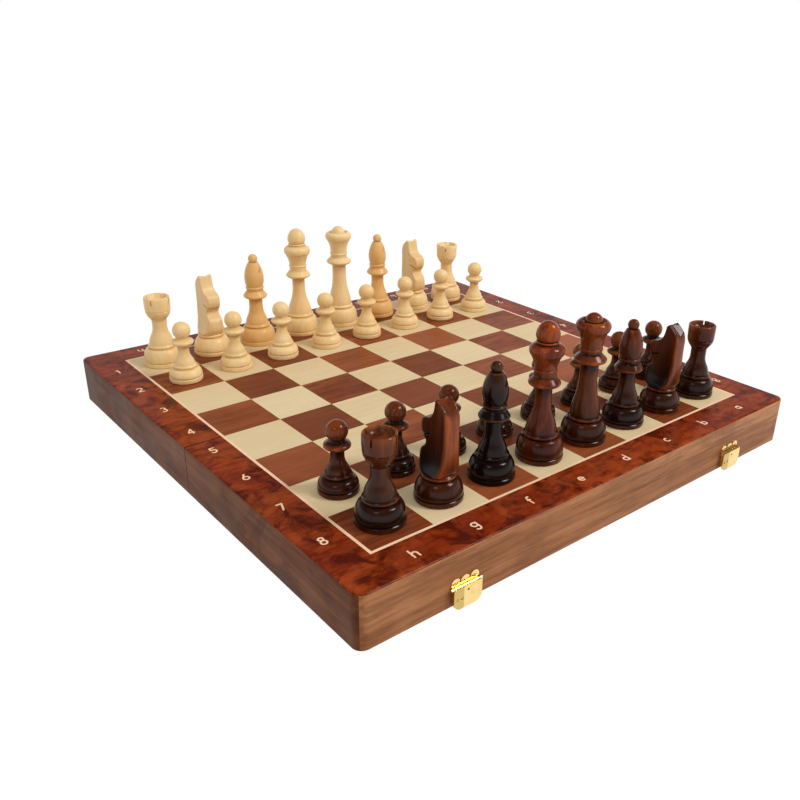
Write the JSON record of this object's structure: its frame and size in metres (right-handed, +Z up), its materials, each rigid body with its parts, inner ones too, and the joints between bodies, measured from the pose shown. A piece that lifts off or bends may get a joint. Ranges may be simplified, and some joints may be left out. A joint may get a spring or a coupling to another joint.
{
  "type": "folding chess box",
  "caption": "Folding chess box lying open as a board, with inlaid squares, a lettered border, felt-lined trays, butt hinges, brass hasp latches and turned chessmen.",
  "frame": {"origin": "on the table under the middle of the open box", "axes": "+X along the front rail to the right, +Y from the latches across the seam to the rear rail, +Z up out of the playing face"},
  "size_m": [0.406, 0.4112, 0.1322],
  "materials": {
    "rails": "satin lacquered walnut-coloured rails",
    "plywood": "plain board under the veneers",
    "border_veneer": "gloss lacquered mottled red-brown veneer",
    "maple_veneer": "gloss lacquered pale veneer",
    "redwood_veneer": "gloss lacquered red-brown veneer",
    "pale_inlay": "gloss lacquered pale line, letters and numbers",
    "felt": "plain felt, colour guessed",
    "polished_brass": "polished",
    "steel_pins": "plain",
    "screws": "plain",
    "boxwood_men": "satin natural boxwood",
    "stained_men": "gloss stained near black"
  },
  "bodies": {
    "rear_half": {"rear_outer_rail": "rails", "rear_side_rails": "rails", "rear_seam_rail": "rails", "rear_board_panel": "plywood", "rear_border_veneer": "border_veneer", "rear_light_squares": "maple_veneer", "rear_dark_squares": "redwood_veneer", "rear_inlay": "pale_inlay", "rear_felt_lining": "felt", "rear_hinge_leaves": "polished_brass", "rear_screws": "screws", "hinge_pins": "steel_pins", "catch_plates": "polished_brass"},
    "front_half": {"front_outer_rail": "rails", "front_side_rails": "rails", "front_seam_rail": "rails", "front_board_panel": "plywood", "front_border_veneer": "border_veneer", "front_light_squares": "maple_veneer", "front_dark_squares": "redwood_veneer", "front_inlay": "pale_inlay", "front_felt_lining": "felt", "front_hinge_leaves": "polished_brass", "front_screws": "screws", "latch_bases": "polished_brass", "latch_pins": "steel_pins"},
    "left_flap": {"left_latch_flap": "polished_brass"},
    "right_flap": {"right_latch_flap": "polished_brass"},
    "light_rook_h1": {"light_rook_h1": "boxwood_men"},
    "light_knight_g1": {"light_knight_g1": "boxwood_men"},
    "light_bishop_f1": {"light_bishop_f1": "boxwood_men"},
    "light_king_e1": {"light_king_e1": "boxwood_men"},
    "light_queen_d1": {"light_queen_d1": "boxwood_men"},
    "light_bishop_c1": {"light_bishop_c1": "boxwood_men"},
    "light_knight_b1": {"light_knight_b1": "boxwood_men"},
    "light_rook_a1": {"light_rook_a1": "boxwood_men"},
    "light_pawn_h2": {"light_pawn_h2": "boxwood_men"},
    "light_pawn_g2": {"light_pawn_g2": "boxwood_men"},
    "light_pawn_f2": {"light_pawn_f2": "boxwood_men"},
    "light_pawn_e2": {"light_pawn_e2": "boxwood_men"},
    "light_pawn_d2": {"light_pawn_d2": "boxwood_men"},
    "light_pawn_c2": {"light_pawn_c2": "boxwood_men"},
    "light_pawn_b2": {"light_pawn_b2": "boxwood_men"},
    "light_pawn_a2": {"light_pawn_a2": "boxwood_men"},
    "dark_rook_h8": {"dark_rook_h8": "stained_men"},
    "dark_knight_g8": {"dark_knight_g8": "stained_men"},
    "dark_bishop_f8": {"dark_bishop_f8": "stained_men"},
    "dark_king_e8": {"dark_king_e8": "stained_men"},
    "dark_queen_d8": {"dark_queen_d8": "stained_men"},
    "dark_bishop_c8": {"dark_bishop_c8": "stained_men"},
    "dark_knight_b8": {"dark_knight_b8": "stained_men"},
    "dark_rook_a8": {"dark_rook_a8": "stained_men"},
    "dark_pawn_h7": {"dark_pawn_h7": "stained_men"},
    "dark_pawn_g7": {"dark_pawn_g7": "stained_men"},
    "dark_pawn_f7": {"dark_pawn_f7": "stained_men"},
    "dark_pawn_e7": {"dark_pawn_e7": "stained_men"},
    "dark_pawn_d7": {"dark_pawn_d7": "stained_men"},
    "dark_pawn_c7": {"dark_pawn_c7": "stained_men"},
    "dark_pawn_b7": {"dark_pawn_b7": "stained_men"},
    "dark_pawn_a7": {"dark_pawn_a7": "stained_men"}
  },
  "joints": [
    {"name": "fold", "type": "hinge", "parent": "rear_half", "child": "front_half", "pos_m": [0, 0, 0.0015], "axis": [1, 0, 0], "range_deg": [0, 180]},
    {"name": "latch_left", "type": "hinge", "parent": "front_half", "child": "left_flap", "pos_m": [-0.131, -0.2047, 0.0136], "axis": [-1, 0, 0], "range_deg": [0, 90]},
    {"name": "latch_right", "type": "hinge", "parent": "front_half", "child": "right_flap", "pos_m": [0.131, -0.2047, 0.0136], "axis": [-1, 0, 0], "range_deg": [0, 90]},
    {"name": "lift_light_rook_h1", "type": "slide", "parent": "rear_half", "child": "light_rook_h1", "axis": [0, 0, 1], "range_m": [0, 0.12]},
    {"name": "lift_light_knight_g1", "type": "slide", "parent": "rear_half", "child": "light_knight_g1", "axis": [0, 0, 1], "range_m": [0, 0.12]},
    {"name": "lift_light_bishop_f1", "type": "slide", "parent": "rear_half", "child": "light_bishop_f1", "axis": [0, 0, 1], "range_m": [0, 0.12]},
    {"name": "lift_light_king_e1", "type": "slide", "parent": "rear_half", "child": "light_king_e1", "axis": [0, 0, 1], "range_m": [0, 0.12]},
    {"name": "lift_light_queen_d1", "type": "slide", "parent": "rear_half", "child": "light_queen_d1", "axis": [0, 0, 1], "range_m": [0, 0.12]},
    {"name": "lift_light_bishop_c1", "type": "slide", "parent": "rear_half", "child": "light_bishop_c1", "axis": [0, 0, 1], "range_m": [0, 0.12]},
    {"name": "lift_light_knight_b1", "type": "slide", "parent": "rear_half", "child": "light_knight_b1", "axis": [0, 0, 1], "range_m": [0, 0.12]},
    {"name": "lift_light_rook_a1", "type": "slide", "parent": "rear_half", "child": "light_rook_a1", "axis": [0, 0, 1], "range_m": [0, 0.12]},
    {"name": "lift_light_pawn_h2", "type": "slide", "parent": "rear_half", "child": "light_pawn_h2", "axis": [0, 0, 1], "range_m": [0, 0.12]},
    {"name": "lift_light_pawn_g2", "type": "slide", "parent": "rear_half", "child": "light_pawn_g2", "axis": [0, 0, 1], "range_m": [0, 0.12]},
    {"name": "lift_light_pawn_f2", "type": "slide", "parent": "rear_half", "child": "light_pawn_f2", "axis": [0, 0, 1], "range_m": [0, 0.12]},
    {"name": "lift_light_pawn_e2", "type": "slide", "parent": "rear_half", "child": "light_pawn_e2", "axis": [0, 0, 1], "range_m": [0, 0.12]},
    {"name": "lift_light_pawn_d2", "type": "slide", "parent": "rear_half", "child": "light_pawn_d2", "axis": [0, 0, 1], "range_m": [0, 0.12]},
    {"name": "lift_light_pawn_c2", "type": "slide", "parent": "rear_half", "child": "light_pawn_c2", "axis": [0, 0, 1], "range_m": [0, 0.12]},
    {"name": "lift_light_pawn_b2", "type": "slide", "parent": "rear_half", "child": "light_pawn_b2", "axis": [0, 0, 1], "range_m": [0, 0.12]},
    {"name": "lift_light_pawn_a2", "type": "slide", "parent": "rear_half", "child": "light_pawn_a2", "axis": [0, 0, 1], "range_m": [0, 0.12]},
    {"name": "lift_dark_rook_h8", "type": "slide", "parent": "front_half", "child": "dark_rook_h8", "axis": [0, 0, 1], "range_m": [0, 0.12]},
    {"name": "lift_dark_knight_g8", "type": "slide", "parent": "front_half", "child": "dark_knight_g8", "axis": [0, 0, 1], "range_m": [0, 0.12]},
    {"name": "lift_dark_bishop_f8", "type": "slide", "parent": "front_half", "child": "dark_bishop_f8", "axis": [0, 0, 1], "range_m": [0, 0.12]},
    {"name": "lift_dark_king_e8", "type": "slide", "parent": "front_half", "child": "dark_king_e8", "axis": [0, 0, 1], "range_m": [0, 0.12]},
    {"name": "lift_dark_queen_d8", "type": "slide", "parent": "front_half", "child": "dark_queen_d8", "axis": [0, 0, 1], "range_m": [0, 0.12]},
    {"name": "lift_dark_bishop_c8", "type": "slide", "parent": "front_half", "child": "dark_bishop_c8", "axis": [0, 0, 1], "range_m": [0, 0.12]},
    {"name": "lift_dark_knight_b8", "type": "slide", "parent": "front_half", "child": "dark_knight_b8", "axis": [0, 0, 1], "range_m": [0, 0.12]},
    {"name": "lift_dark_rook_a8", "type": "slide", "parent": "front_half", "child": "dark_rook_a8", "axis": [0, 0, 1], "range_m": [0, 0.12]},
    {"name": "lift_dark_pawn_h7", "type": "slide", "parent": "front_half", "child": "dark_pawn_h7", "axis": [0, 0, 1], "range_m": [0, 0.12]},
    {"name": "lift_dark_pawn_g7", "type": "slide", "parent": "front_half", "child": "dark_pawn_g7", "axis": [0, 0, 1], "range_m": [0, 0.12]},
    {"name": "lift_dark_pawn_f7", "type": "slide", "parent": "front_half", "child": "dark_pawn_f7", "axis": [0, 0, 1], "range_m": [0, 0.12]},
    {"name": "lift_dark_pawn_e7", "type": "slide", "parent": "front_half", "child": "dark_pawn_e7", "axis": [0, 0, 1], "range_m": [0, 0.12]},
    {"name": "lift_dark_pawn_d7", "type": "slide", "parent": "front_half", "child": "dark_pawn_d7", "axis": [0, 0, 1], "range_m": [0, 0.12]},
    {"name": "lift_dark_pawn_c7", "type": "slide", "parent": "front_half", "child": "dark_pawn_c7", "axis": [0, 0, 1], "range_m": [0, 0.12]},
    {"name": "lift_dark_pawn_b7", "type": "slide", "parent": "front_half", "child": "dark_pawn_b7", "axis": [0, 0, 1], "range_m": [0, 0.12]},
    {"name": "lift_dark_pawn_a7", "type": "slide", "parent": "front_half", "child": "dark_pawn_a7", "axis": [0, 0, 1], "range_m": [0, 0.12]}
  ]
}
